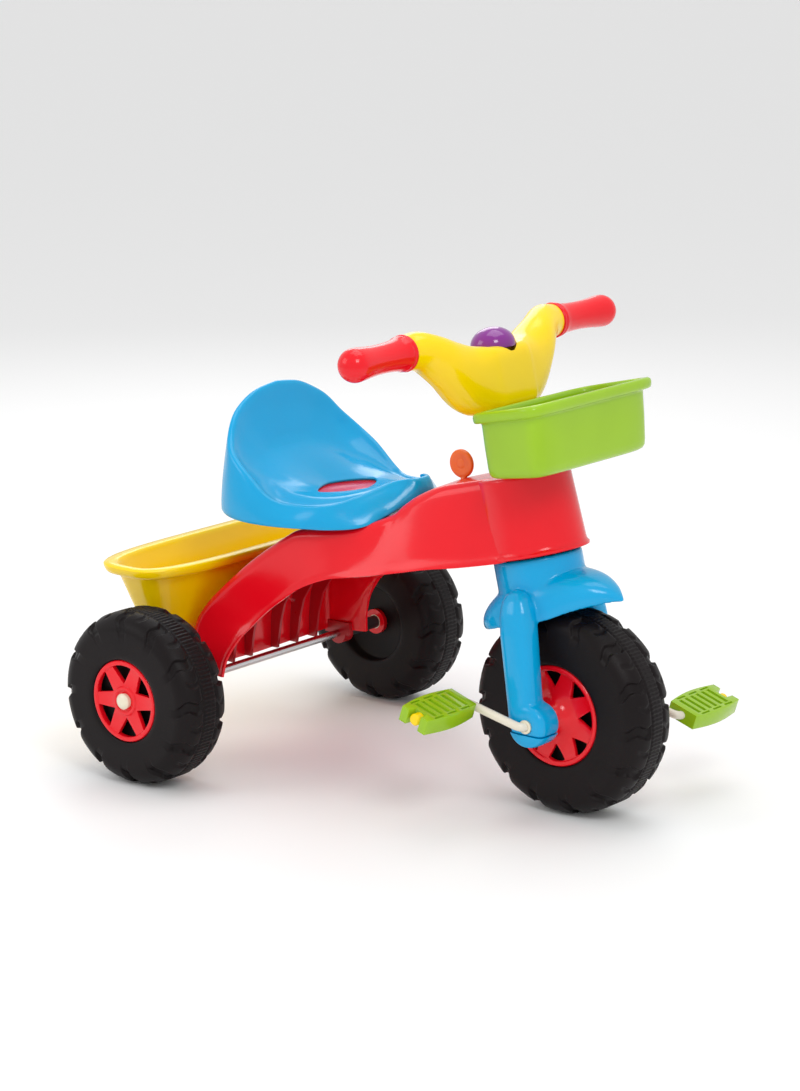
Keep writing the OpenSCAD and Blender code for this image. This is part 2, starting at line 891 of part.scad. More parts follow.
module pedal(s) {
    color("yellowgreen")
        at_pedal(s)
            difference() {
                translate([0, 0, -pedal_t / 2])
                    linear_extrude(pedal_t)
                        polygon(concat(pedal_side(1), reverse(pedal_side(-1))));
                y_cyl(axle_r + fit, -1, pedal_l + 1);
                translate([-8, pedal_l - notch, -pedal_t])
                    cube([16, notch + 1, 2 * pedal_t]);
                for (y = [12, 24, 36, 48, 60])
                    translate([-pedal_w / 2 + 8, y, pedal_t / 2 - 3])
                        cube([pedal_w - 16, 5, 4]);
            }
}
module pedal_cap(s) {
    color("yellow")
        at_pedal(s)
            rotate([-90, 0, 0])
                rotate_extrude()
                    polygon([
                        [axle_r, pedal_l - notch + gap], [7, pedal_l - notch + gap],
                        [7, pedal_l - 3], [5, pedal_l - 1], [0, pedal_l - 1],
                        [0, pedal_l - notch + 6], [axle_r, pedal_l - notch + 6],
                    ]);
}

frame_body();
frame_head();
frame_ribs();
head_bush_upper();
head_bush_lower();
seat();
seat_platform();
seat_screws();
rear_tub();
rear_tub_screws();
rear_axle();
rear_cap_nut(1);  // rear_cap_nut_left
rear_cap_nut(-1);  // rear_cap_nut_right
key_socket();
ignition_key();
fork_crown();
fender();
fork_leg(1);  // fork_leg_left
fork_leg(-1);  // fork_leg_right
fork_foot_cap(1);  // fork_foot_cap_left
fork_foot_cap(-1);  // fork_foot_cap_right
foot_cap_screws();
crank_bush(1);  // crank_bush_left
crank_bush(-1);  // crank_bush_right
steering_column();
handlebar();
handlebar_bolt();
grip(1);  // grip_left
grip(-1);  // grip_right
front_basket();
basket_screws();
horn_spring();
horn_button();
front_tyre();
front_hub(1);  // front_hub_left
front_hub(-1);  // front_hub_right
front_hub_screws();
crank_rod();
pedal(1);  // pedal_left
pedal(-1);  // pedal_right
pedal_cap(1);  // pedal_cap_left
pedal_cap(-1);  // pedal_cap_right
rear_tyre(1);  // rear_tyre_left
rear_tyre(-1);  // rear_tyre_right
rear_hub_outer(1);  // rear_hub_outer_left
rear_hub_outer(-1);  // rear_hub_outer_right
rear_hub_inner(1);  // rear_hub_inner_left
rear_hub_inner(-1);  // rear_hub_inner_right
rear_bush(1);  // rear_bush_left
rear_bush(-1);  // rear_bush_right
axle_spacer(1);  // axle_spacer_left
axle_spacer(-1);  // axle_spacer_right
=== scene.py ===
import math

import bmesh
import bpy
import numpy as np
from mathutils import Matrix, Vector


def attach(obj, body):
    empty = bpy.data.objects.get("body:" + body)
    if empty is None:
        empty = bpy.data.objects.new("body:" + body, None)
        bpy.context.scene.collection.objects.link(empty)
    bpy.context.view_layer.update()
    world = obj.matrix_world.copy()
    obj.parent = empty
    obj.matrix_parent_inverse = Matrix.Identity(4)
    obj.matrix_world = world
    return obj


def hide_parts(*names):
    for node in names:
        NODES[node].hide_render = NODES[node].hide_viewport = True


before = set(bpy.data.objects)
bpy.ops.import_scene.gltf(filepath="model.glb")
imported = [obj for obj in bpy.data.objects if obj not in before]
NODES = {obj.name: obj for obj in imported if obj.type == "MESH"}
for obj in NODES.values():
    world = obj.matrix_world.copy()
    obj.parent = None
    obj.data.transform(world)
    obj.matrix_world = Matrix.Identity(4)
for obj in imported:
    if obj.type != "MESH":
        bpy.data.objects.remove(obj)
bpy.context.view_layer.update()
MM = 0.001

# ------------------------------------------------------------------ reference frames
RAKE = math.radians(13.7)
FRONT = np.array([235.0, 0.0, 120.0])
REAR_X, REAR_Z, TRACK = -227.0, 105.0, 230.0
TRAIL = 10
STEER = (Matrix.Translation(Vector(FRONT)) @ Matrix.Rotation(-RAKE, 4, "Y")
         @ Matrix.Translation((-TRAIL, 0, 0)))
TO_Y = Matrix.Rotation(math.radians(-90), 4, "X")


SIDES = ((1, "left"), (-1, "right"))


def mirror(side):
    """The left side's shapes as they are for 1, and mirrored to the right for -1."""
    return Matrix.Scale(side, 4, (0, 1, 0))


# ------------------------------------------------------------------ curve helpers
def catmull(keys, count):
    k = np.array(keys, float)
    n = len(k)
    out = []
    for i in range(count + 1):
        s = i * (n - 1) / count
        j = min(int(s), n - 2)
        t = s - j
        a, b, c, d = k[max(j - 1, 0)], k[j], k[j + 1], k[min(j + 2, n - 1)]
        out.append(0.5 * (2 * b + (c - a) * t + (2 * a - 5 * b + 4 * c - d) * t * t
                          + (3 * b - a - 3 * c + d) * t ** 3))
    return np.array(out)


def super_pt(a, b, n, deg):
    c, s = math.cos(math.radians(deg)), math.sin(math.radians(deg))
    return (a * math.copysign(abs(c) ** (2 / n), c), b * math.copysign(abs(s) ** (2 / n), s))


def smooth(a, b, x):
    t = np.clip((x - a) / (b - a), 0, 1)
    return t * t * (3 - 2 * t)


def mirror_y(p):
    return np.array([p[0], -p[1], p[2]])


# ------------------------------------------------------------------ mesh helpers
def grid_faces(m, n, wrap_m=False, wrap_n=False, off=0):
    faces = []
    for j in range(m if wrap_m else m - 1):
        for i in range(n if wrap_n else n - 1):
            faces.append((off + j * n + i, off + j * n + (i + 1) % n,
                          off + ((j + 1) % m) * n + (i + 1) % n, off + ((j + 1) % m) * n + i))
    return faces


def build(name, verts, faces, matrix=None, sharp=35):
    """A mesh object from points in millimetres, moved by matrix, shaded smooth up to an angle."""
    me = bpy.data.meshes.new(name)
    me.from_pydata([tuple(float(c) for c in v) for v in verts], [], faces)
    o = bpy.data.objects.new(name, me)
    bpy.context.scene.collection.objects.link(o)
    bm = bmesh.new()
    bm.from_mesh(me)
    bmesh.ops.remove_doubles(bm, verts=bm.verts, dist=1e-4)
    bmesh.ops.recalc_face_normals(bm, faces=bm.faces)
    if matrix is not None:
        bm.transform(matrix)
        if matrix.determinant() < 0:
            bmesh.ops.reverse_faces(bm, faces=bm.faces)
    bmesh.ops.scale(bm, vec=(MM, MM, MM), verts=bm.verts)
    bm.to_mesh(me)
    bm.free()
    shade(o, sharp)
    return o


def shade(o, sharp=35):
    me = o.data
    me.polygons.foreach_set("use_smooth", [True] * len(me.polygons))
    me.set_sharp_from_angle(angle=math.radians(sharp))
    me.update()


def bake(o, sharp=35):
    """Applies the object's modifiers."""
    dg = bpy.context.evaluated_depsgraph_get()
    dg.update()
    me = bpy.data.meshes.new_from_object(o.evaluated_get(dg), depsgraph=dg)
    o.modifiers.clear()
    o.data = me
    shade(o, sharp)
    return o


def modify(o, kind, **settings):
    m = o.modifiers.new(kind.lower(), kind)
    for key, value in settings.items():
        setattr(m, key, value)
    return m


def moved(o, matrix):
    """Moves the mesh itself by a matrix in millimetres. Faces are turned back if it mirrors."""
    bm = bmesh.new()
    bm.from_mesh(o.data)
    bm.transform(Matrix.Scale(MM, 4) @ matrix @ Matrix.Scale(1 / MM, 4))
    if matrix.determinant() < 0:
        bmesh.ops.reverse_faces(bm, faces=bm.faces)
    bm.to_mesh(o.data)
    bm.free()
    return o


def bevelled(o, width, segments=3, angle=30, sharp=40):
    modify(o, "BEVEL", width=width * MM, segments=segments, limit_method="ANGLE",
           angle_limit=math.radians(angle), harden_normals=False)
    return bake(o, sharp)


def subdivided(o, levels=1, sharp=60):
    modify(o, "SUBSURF", levels=levels, render_levels=levels)
    return bake(o, sharp)


def joined(name, objs):
    """One object from several, with their world-space meshes."""
    bm = bmesh.new()
    for o in objs:
        bm.from_mesh(o.data)
    me = bpy.data.meshes.new(name)
    bm.to_mesh(me)
    bm.free()
    for o in objs:
        bpy.data.objects.remove(o)
    j = bpy.data.objects.new(name, me)
    bpy.context.scene.collection.objects.link(j)
    return j


def fused(name, objs, voxel, rounds, factor=0.5, sharp=50):
    """Several closed solids melted into one skin with soft inner corners."""
    o = joined(name, objs)
    modify(o, "REMESH", mode="VOXEL", voxel_size=voxel * MM, use_smooth_shade=True)
    modify(o, "SMOOTH", factor=factor, iterations=rounds)
    return bake(o, sharp)


def cut(o, cutter):
    """Takes the cutter away from the object, and the cutter out of the scene."""
    modify(o, "BOOLEAN", operation="DIFFERENCE", object=cutter, solver="EXACT")
    bake(o)
    bpy.data.objects.remove(cutter)
    return o


def lathe(name, profile, matrix=None, segs=96, sharp=35, closed=True):
    """Profile of (radius, height) about Z. A radius of 0 makes a pole."""
    verts, rings, faces = [], [], []
    for r, z in profile:
        if r < 1e-6:
            rings.append([len(verts)])
            verts.append((0, 0, z))
        else:
            rings.append(list(range(len(verts), len(verts) + segs)))
            verts += [(r * math.cos(2 * math.pi * k / segs), r * math.sin(2 * math.pi * k / segs), z)
                      for k in range(segs)]
    pairs = list(zip(rings, rings[1:])) + ([(rings[-1], rings[0])] if closed else [])
    for a, b in pairs:
        for k in range(segs):
            k2 = (k + 1) % segs
            if len(a) == 1 and len(b) == 1:
                continue
            if len(a) == 1:
                faces.append((a[0], b[k], b[k2]))
            elif len(b) == 1:
                faces.append((a[k], a[k2], b[0]))
            else:
                faces.append((a[k], a[k2], b[k2], b[k]))
    return build(name, verts, faces, matrix, sharp)


def arc(cx, cy, r, a0, a1, count):
    return [(cx + r * math.cos(math.radians(a0 + (a1 - a0) * k / count)),
             cy + r * math.sin(math.radians(a0 + (a1 - a0) * k / count))) for k in range(count + 1)]


def rings_mesh(name, rings, matrix=None, closed_path=False, caps=True, sharp=35):
    """Skin over closed rings with the same number of points."""
    n, m = len(rings[0]), len(rings)
    verts = [p for r in rings for p in r]
    faces = grid_faces(m, n, closed_path, True)
    if caps and not closed_path:
        faces += [tuple(range(n)), tuple((m - 1) * n + k for k in range(n - 1, -1, -1))]
    return build(name, verts, faces, matrix, sharp)


def tube(name, points, radius, sides=20, matrix=None, flat=1.0):
    """Round rod along points, with closed ends."""
    pts = [Vector(p) for p in points]
    up = Vector((0, 0, 1))
    rings = []
    for k, p in enumerate(pts):
        d = (pts[min(k + 1, len(pts) - 1)] - pts[max(k - 1, 0)]).normalized()
        x = up.cross(d)
        x = x.normalized() if x.length > 0.05 else Vector((1, 0, 0))
        y = d.cross(x).normalized()
        rings.append([p + radius * (math.cos(2 * math.pi * s / sides) * x
                                    + flat * math.sin(2 * math.pi * s / sides) * y)
                      for s in range(sides)])
    return rings_mesh(name, rings, matrix)


def prism(name, outline, z0, z1, matrix=None, sharp=35):
    """A flat outline carried straight up from z0 to z1."""
    n = len(outline)
    verts = [(x, y, z0) for x, y in outline] + [(x, y, z1) for x, y in outline]
    faces = [tuple(range(n - 1, -1, -1)), tuple(range(n, 2 * n))]
    faces += [(k, (k + 1) % n, n + (k + 1) % n, n + k) for k in range(n)]
    return build(name, verts, faces, matrix, sharp)


# ------------------------------------------------------------------ materials
def mat(name, color, rough=0.18, grain=0.02, scale=260.0, tint=0.06, spec=0.5, coat=0.0, metal=0.0,
        sss=0.0):
    """Moulded plastic, steel or paint: colour, roughness and a fine surface wave from noise nodes."""
    m = bpy.data.materials.new(name)
    m.use_nodes = True
    nt = m.node_tree
    bsdf = nt.nodes["Principled BSDF"]
    coord = nt.nodes.new("ShaderNodeTexCoord")
    big = nt.nodes.new("ShaderNodeTexNoise")
    big.inputs["Scale"].default_value = 9.0
    big.inputs["Detail"].default_value = 3.0
    fine = nt.nodes.new("ShaderNodeTexNoise")
    fine.inputs["Scale"].default_value = scale
    fine.inputs["Detail"].default_value = 4.0
    for t in (big, fine):
        nt.links.new(coord.outputs["Object"], t.inputs["Vector"])
    ramp = nt.nodes.new("ShaderNodeValToRGB")
    ramp.color_ramp.elements[0].position = 0.3
    ramp.color_ramp.elements[1].position = 0.7
    ramp.color_ramp.elements[0].color = (*[c * (1 - tint) for c in color], 1)
    ramp.color_ramp.elements[1].color = (*[min(1.0, c * (1 + tint)) for c in color], 1)
    nt.links.new(big.outputs["Fac"], ramp.inputs["Fac"])
    nt.links.new(ramp.outputs["Color"], bsdf.inputs["Base Color"])
    spread = nt.nodes.new("ShaderNodeMapRange")
    spread.inputs["To Min"].default_value = max(0.02, rough * 0.8)
    spread.inputs["To Max"].default_value = rough * 1.25
    nt.links.new(fine.outputs["Fac"], spread.inputs["Value"])
    nt.links.new(spread.outputs["Result"], bsdf.inputs["Roughness"])
    mix = nt.nodes.new("ShaderNodeMath")
    mix.operation = "MULTIPLY_ADD"
    mix.inputs[1].default_value = 0.5
    nt.links.new(fine.outputs["Fac"], mix.inputs[0])
    nt.links.new(big.outputs["Fac"], mix.inputs[2])
    bump = nt.nodes.new("ShaderNodeBump")
    bump.inputs["Strength"].default_value = grain
    bump.inputs["Distance"].default_value = 0.004
    nt.links.new(mix.outputs["Value"], bump.inputs["Height"])
    nt.links.new(bump.outputs["Normal"], bsdf.inputs["Normal"])
    bsdf.inputs["Specular IOR Level"].default_value = spec
    bsdf.inputs["Metallic"].default_value = metal
    bsdf.inputs["Coat Weight"].default_value = coat
    bsdf.inputs["Coat Roughness"].default_value = 0.06
    if sss:
        bsdf.inputs["Subsurface Weight"].default_value = sss
        bsdf.inputs["Subsurface Radius"].default_value = (0.02, 0.02, 0.01)
        bsdf.inputs["Subsurface Scale"].default_value = 0.3
    return m


RED = mat("red_plastic", (0.83, 0.003, 0.012), 0.15, 0.05, 220, 0.04, spec=0.38, coat=0.08)
# darker red standing for the shade under the frame and inside the key socket: painted shade on the frame's
# own red plastic
RED_PAINTED_SHADE = mat("red_plastic_painted_shade", (0.42, 0.004, 0.01), 0.3, 0.05, 220, 0.08)
BLUE = mat("blue_plastic", (0.0, 0.36, 0.70), 0.16, 0.05, 220, 0.04, spec=0.38, coat=0.06)
YELLOW = mat("yellow_plastic", (1.0, 0.67, 0.0), 0.17, 0.05, 220, 0.03, spec=0.4, coat=0.08, sss=0.1)
GREEN = mat("green_plastic", (0.31, 0.53, 0.012), 0.2, 0.05, 220, 0.06, spec=0.4, coat=0.08, sss=0.1)
ORANGE = mat("orange_plastic", (0.90, 0.16, 0.015), 0.22, 0.08, 400, 0.12)
PURPLE = mat("purple_plastic", (0.21, 0.012, 0.25), 0.12, 0.03, 220, 0.05, coat=0.4)
TYRE = mat("tyre_plastic", (0.0075, 0.0050, 0.0054), 0.42, 0.12, 700, 0.25, spec=0.15)
STEEL = mat("steel", (0.62, 0.62, 0.63), 0.24, 0.03, 900, 0.1, metal=1.0)
CREAM = mat("cream_paint", (0.78, 0.72, 0.60), 0.22, 0.03, 300, 0.05)
IVORY = mat("ivory_plastic", (0.84, 0.77, 0.60), 0.25, 0.03, 300, 0.05)
DARK = mat("dark_plastic", (0.03, 0.028, 0.03), 0.45, 0.05, 500, 0.1)


def place(o, material, body, slot, *nodes):
    o.data.materials.clear()
    o.data.materials.append(material)
    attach(o, body)
    if nodes:
        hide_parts(*nodes)
    return o


# ------------------------------------------------------------------ frame body and head
WALL = 3.5
SHOULDER = [
    (160, 49, 391), (139, 49, 386.5), (112, 52, 380), (76, 56, 370), (47, 57, 356),
    (28, 58, 343), (12, 64, 328), (-20, 81, 314), (-60, 94, 307), (-97, 101, 301),
    (-119, 104, 290), (-166, 110, 256), (-204, 116, 222), (-229, 124, 194),
    (-243, 128, 169), (-247, 131, 140), (-248, 132, 109)]
EDGE = [
    (182, 59.5, 299), (166, 61.5, 294), (120, 70, 284), (80, 77, 277), (44, 84, 269),
    (20, 90, 264), (0, 94, 260), (-28, 97, 254), (-51, 98, 249), (-75, 100, 240),
    (-97, 102, 229), (-120, 105, 212), (-141, 108, 195), (-157, 114, 178),
    (-170, 122, 162.5), (-183, 132, 136.5), (-187, 137, 113)]
MIDDLE = [
    (117, 0, 382), (110, 0, 381), (96, 0, 378), (72, 0, 371), (47, 0, 360),
    (28, 0, 348), (11, 0, 334), (-20, 0, 319), (-60, 0, 313), (-97, 0, 306),
    (-122, 0, 293), (-168, 0, 259), (-206, 0, 225), (-232, 0, 196),
    (-248, 0, 171), (-253, 0, 140), (-254, 0, 104)]


def toward(a, b, dist):
    d = b - a
    return a + d * min(0.45, dist / max(1e-6, float(np.linalg.norm(d))))


def body_ring(e, s, m, bead):
    """Half section from the lower edge over the shoulder to the middle, then its mirror image."""
    out = np.array([0.0, 1.0, 0.0])
    half = [e + out * bead]
    for t, k in ((0.03, 1.0), (0.07, 0.55), (0.11, 0.1), (0.16, 0)):
        half.append(e + (s - e) * t + out * bead * k)
    half += [e + (s - e) * t for t in (0.3, 0.45, 0.6, 0.75)]
    a, b = toward(s, e, 13), toward(s, m, 11)
    half += [(1 - t) ** 2 * a + 2 * t * (1 - t) * s + t * t * b for t in np.linspace(0, 1, 9)]
    half += [b + (m - b) * t for t in (0.2, 0.45, 0.7, 1.0)]
    return [mirror_y(p) for p in half] + half[-2::-1]


def sheet_mesh(name, grid, thick, matrix=None, sharp=40):
    """A sheet of even thickness under a grid of points, closed round its edges."""
    g = np.array(grid)
    m, n = g.shape[:2]
    di, dj = np.zeros_like(g), np.zeros_like(g)
    di[:, 1:-1] = g[:, 2:] - g[:, :-2]
    di[:, 0], di[:, -1] = g[:, 1] - g[:, 0], g[:, -1] - g[:, -2]
    dj[1:-1] = g[2:] - g[:-2]
    dj[0], dj[-1] = g[1] - g[0], g[-1] - g[-2]
    nrm = np.cross(di, dj)
    nrm /= np.maximum(np.linalg.norm(nrm, axis=2, keepdims=True), 1e-9)
    inner = g - thick * nrm
    verts = list(g.reshape(-1, 3)) + list(inner.reshape(-1, 3))
    k = m * n
    faces = grid_faces(m, n) + grid_faces(m, n, off=k)
    for j in range(m - 1):
        for i in (0, n - 1):
            a, b = j * n + i, (j + 1) * n + i
            faces.append((a, b, b + k, a + k))
    for i in range(n - 1):
        for j in (0, m - 1):
            a, b = j * n + i, j * n + i + 1
            faces.append((a, b, b + k, a + k))
    return build(name, verts, faces, matrix, sharp)


STEPS = 120
E, S, M = catmull(EDGE, STEPS), catmull(SHOULDER, STEPS), catmull(MIDDLE, STEPS)
body = sheet_mesh("frame_body_skin", [body_ring(E[j], S[j], M[j], 1.4) for j in range(STEPS + 1)], WALL)
place(body, RED, "frame", "red", "frame_body")

HEAD_W0, HEAD_W1, HEAD_R0, HEAD_R1 = 187, 281, 60, 56
head = lathe("frame_head_skin", [
    (18, HEAD_W0 + 4), (25, HEAD_W0 + 4), (25, HEAD_W1 - 9), (28, HEAD_W1 - 4), (HEAD_R1 - 5, HEAD_W1 - 4),
    (HEAD_R0 - 4, HEAD_W0 + 6), (HEAD_R0 - 4, HEAD_W0 + 1), (HEAD_R0 - 3.4, HEAD_W0),
    (HEAD_R0 + 1.8, HEAD_W0), (HEAD_R0 + 2.5, HEAD_W0 + 0.8), (HEAD_R0 + 2.5, HEAD_W0 + 3.2),
    (HEAD_R0 + 1.6, HEAD_W0 + 4.4), (HEAD_R0 + 0.2, HEAD_W0 + 6.5), (HEAD_R0 - 0.2, HEAD_W0 + 10)]
    + [(HEAD_R0 - 0.2 + (HEAD_R1 + 0.2 - HEAD_R0) * t, HEAD_W0 + 10 + (HEAD_W1 - 15 - HEAD_W0) * t)
       for t in (0.25, 0.5, 0.75, 1.0)]
    + arc(HEAD_R1 - 5, HEAD_W1 - 5, 5, 0, 90, 8) + [(18, HEAD_W1)], STEER, 160)
place(head, RED, "frame", "red", "frame_head")

PLATFORM_X, PLATFORM_A, PLATFORM_B = -104, 37, 57
plat = []
for t in range(64):
    a = math.radians(360 * t / 64)
    plat.append((PLATFORM_X + PLATFORM_A * math.cos(a), PLATFORM_B * math.sin(a)))
platform = bevelled(prism("seat_platform_skin", plat, 264, 335.1), 1.5)
place(platform, RED, "frame", "red", "seat_platform")

# ------------------------------------------------------------------ seat
PAN = [
    (-3, 0, 360), (-6, 9, 359.5), (-16, 19, 356), (-33, 42, 348), (-60, 64, 341),
    (-90, 80, 339), (-120, 86, 341), (-144, 84, 346), (-164, 76, 353),
    (-177, 66, 361), (-186, 52, 368), (-192, 36, 373), (-195, 18, 376), (-196, 0, 377)]
RIM = [
    (13, 0, 362), (11, 12, 362), (1, 21, 361), (-14, 34, 356), (-32, 66, 344), (-57, 99, 334),
    (-98, 108, 331), (-126, 119, 338), (-157, 122, 362), (-185, 117, 383),
    (-200, 104, 401), (-209, 87, 421), (-214, 67, 434), (-216, 38, 446), (-217, 0, 451)]
SKIRT = [
    (19, 0, 345), (16, 16, 341), (9, 32, 334), (-1, 54, 323), (-15, 82, 313), (-44, 105, 310),
    (-74, 116, 309), (-104, 124, 308), (-132, 130, 308), (-162, 130, 308), (-188, 124, 309),
    (-209, 112, 312), (-220, 94, 315), (-227, 71, 318), (-231, 38, 319), (-232, 0, 319)]
SEAT_C = np.array([-104.0, 0.0, 339.0])
SEAT_STEPS = 64
pan, rim, skirt = catmull(PAN, SEAT_STEPS), catmull(RIM, SEAT_STEPS), catmull(SKIRT, SEAT_STEPS)


def hole(grow, dz):
    pts = []
    for k in range(SEAT_STEPS + 1):
        x, y = super_pt(28 + grow, 50 + grow, 1.5, 180 * k / SEAT_STEPS)
        pts.append(SEAT_C + np.array([x, y, dz]))
    return np.array(pts)


def draw_in(a, d, dz):
    v = a - SEAT_C
    v[:, 2] = 0
    v /= np.linalg.norm(v, axis=1, keepdims=True)
    return a - d * v - np.array([0, 0, dz])


def blend_pts(a, b, t, dz=0.0):
    return a + (b - a) * t + np.array([0, 0, dz])


lift = np.array([0, 0, 1.0])
rows = [
    hole(0.4, -3.2), hole(0, -2.4), hole(0.2, -0.9), hole(1.4, -0.1), hole(3, 0.2),
    blend_pts(hole(4, 0.3), pan, 0.35), blend_pts(hole(4, 0.3), pan, 0.7), pan,
    blend_pts(pan, rim, 0.25, -3.4), blend_pts(pan, rim, 0.5, -4.2), blend_pts(pan, rim, 0.75, -2.6),
    draw_in(rim, 5.5, -0.6), draw_in(rim, 3.2, -1.9), draw_in(rim, 0.8, -2.4), draw_in(rim, -1.6, -1.4),
    draw_in(rim, -3.0, 1.0), draw_in(blend_pts(rim, skirt, 0.18), -3.2, 0),
    draw_in(blend_pts(rim, skirt, 0.4), -3.2, 0), draw_in(blend_pts(rim, skirt, 0.65), -2.8, 0),
    draw_in(blend_pts(rim, skirt, 0.88), -1.0, 0), draw_in(skirt, 0.5, 0.2), draw_in(skirt, 2.8, 0.4),
    draw_in(blend_pts(rim, skirt, 0.85), 2.6, 0), draw_in(blend_pts(rim, skirt, 0.5), 1.0, 0),
    draw_in(rim, 2, 4), blend_pts(pan, rim, 0.5, -4.2 - WALL), pan - lift * WALL,
    blend_pts(hole(4, 0.3), pan, 0.5, -WALL), hole(1.0, -WALL)]
rings = []
for r in rows:
    rings.append(list(r) + [mirror_y(p) for p in r[-2:0:-1]])
seat = rings_mesh("seat_skin", rings, closed_path=True, sharp=60)
seat = subdivided(seat, 1)
place(seat, BLUE, "frame", "blue", "seat")

# ------------------------------------------------------------------ rear tub
TUB_X, TUB_A, TUB_B, TUB_N, TUB_Z, TUB_D, LIP = -289.0, 66.0, 206.0, 3.4, 246.0, 105.0, 13.0


def tub_ring(grow, drop):
    a, b = TUB_A + grow - drop * 0.22, TUB_B + grow - drop * 0.45
    return [(TUB_X + x + drop * 0.02, y, TUB_Z - drop)
            for x, y in (super_pt(a, b, TUB_N, 360 * k / 144) for k in range(144))]


TUB_PROFILE = [
    (-LIP - 20, TUB_D), (-LIP - 6, TUB_D - 0.6), (-LIP - 1.5, TUB_D - 4), (-LIP, TUB_D - 9), (-LIP, 60),
    (-LIP, 18), (-LIP + 0.4, 14.5), (-LIP + 2, 13.2), (-4, 12.2), (-1.2, 11.4), (-0.2, 9.5), (0, 5),
    (-0.8, 1.8), (-3, 0.2), (-LIP, 0), (-LIP - WALL + 1, 0.4), (-LIP - WALL - 0.6, 2),
    (-LIP - WALL - 1, 6), (-LIP - WALL, TUB_D - 12), (-LIP - WALL - 2, TUB_D - 6.5),
    (-LIP - WALL - 7, TUB_D - WALL - 0.5), (-LIP - WALL - 20, TUB_D - WALL)]
tub = rings_mesh("rear_tub_skin", [tub_ring(*p) for p in TUB_PROFILE], sharp=50)
place(tub, YELLOW, "frame", "yellow", "rear_tub")

# ------------------------------------------------------------------ front basket
# place in the steering frame, half length and half width of the rim, squareness and depth
BASKET_U, BASKET_W, BASKET_A, BASKET_B, BASKET_N, BASKET_D = 74.0, 362.0, 56.0, 121.0, 7.0, 79.0


def basket_ring(grow, drop):
    g = grow - drop * 0.03
    pts = []
    for k in range(192):
        x, y = super_pt(BASKET_A + g, BASKET_B + g, BASKET_N, 360 * k / 192)
        pts.append((BASKET_U + x - 0.105 * drop, y * (0.95 + 0.05 * x / BASKET_A),
                    BASKET_W - drop * (1 + 0.05 * x / BASKET_A)))
    return pts


# growth of the outline and drop below the rim, from the floor inside over the rim to the underside
BASKET_PROFILE = [
    (-30, BASKET_D), (-15, BASKET_D - 0.4), (-11, BASKET_D - 2.4), (-9.2, BASKET_D - 6),
    (-8.6, BASKET_D - 12), (-8, 40), (-8, 16), (-7.6, 13.6), (-6, 12.6), (-2.4, 12.2), (-0.8, 11.2),
    (-0.2, 9), (0, 5), (-0.8, 2), (-2.8, 0.3), (-7, 0), (-10, 0.4), (-11.6, 2), (-12, 6),
    (-12, BASKET_D - 12), (-14, BASKET_D - 6), (-19, BASKET_D - WALL - 0.3), (-32, BASKET_D - WALL)]
basket = rings_mesh("front_basket_skin", [basket_ring(*p) for p in BASKET_PROFILE], STEER, sharp=50)
place(basket, GREEN, "steering", "green", "front_basket")

# ------------------------------------------------------------------ handlebar
BAR = [
    (0, 123.4, 497.4, 29, 37.7, 5.2), (26, 123.4, 497.4, 29, 37.7, 5.2), (36, 121.8, 498, 29, 39, 4.0),
    (52, 119.3, 500.5, 29, 40, 2.8), (70, 114.5, 509, 29, 38.5, 2.4), (92, 109, 525.5, 26.5, 31, 2.2),
    (116, 99, 540, 23, 23.5, 2.1), (134, 96, 542, 20.5, 20.5, 2.0), (142, 96, 542, 19.5, 19.5, 2.0)]
HORN = STEER @ Matrix.Translation((-8.4, 0, 421))
HORN_R, HORN_DOME, HORN_BASE = 26.5, 21, 10
BAR_STEPS = 34


def bar_ring(k, s):
    pts = []
    for i in range(96):
        x, z = super_pt(k[3], k[4], k[5], 3.75 * i)
        pts.append((k[1] + x * math.cos(RAKE) - z * math.sin(RAKE), s * k[0],
                    k[2] + x * math.sin(RAKE) + z * math.cos(RAKE)))
    return pts


keys = catmull(BAR, BAR_STEPS)
rings = [bar_ring(k, 1) for k in keys[:0:-1]] + [bar_ring(k, -1) for k in keys]
bar = rings_mesh("handlebar_skin", rings, sharp=50)
well = lathe("well", [(0, 0), (HORN_R + 0.7, 0), (HORN_R + 0.7, 60), (0, 60)], HORN, 96)
bar = bevelled(cut(bar, well), 1.2, 2, 50, 50)
place(bar, YELLOW, "steering", "yellow", "handlebar")

GRIP_AT, GRIP_SWEEP = (96, 139, 542), math.radians(3)
for s, name in SIDES:
    flip = mirror(s)
    at = flip @ Matrix.Translation(GRIP_AT) @ Matrix.Rotation(-GRIP_SWEEP, 4, "Z") @ TO_Y
    g = lathe(f"grip_{name}_skin", [
        (0, 6), (14, 1.5), (19.5, 0), (21, 0.8), (21.4, 2.4), (20.8, 4.2), (19.9, 5), (19.9, 6.2),
        (20.6, 7.4), (20.4, 9), (19.4, 11.5), (18.2, 18), (17.2, 30), (16.7, 45), (16.9, 58),
        (17.8, 72), (19, 84), (19.4, 92)] + arc(1.0, 93, 18.4, 0, 84, 14) + [(0, 112)], at, 96, 60)
    place(g, RED, "steering", "red", f"grip_{name}")

button = lathe("horn_button_skin", [
    (0, 12), (23, 12), (23, 5), (25.8, 5), (26.4, 6), (HORN_R, HORN_BASE)]
    + [(HORN_R * math.cos(math.radians(a)), HORN_BASE + HORN_DOME * math.sin(math.radians(a)))
       for a in range(6, 90, 6)]
    + [(0, HORN_BASE + HORN_DOME)], HORN, 96, 50)
place(button, PURPLE, "horn", "purple", "horn_button")

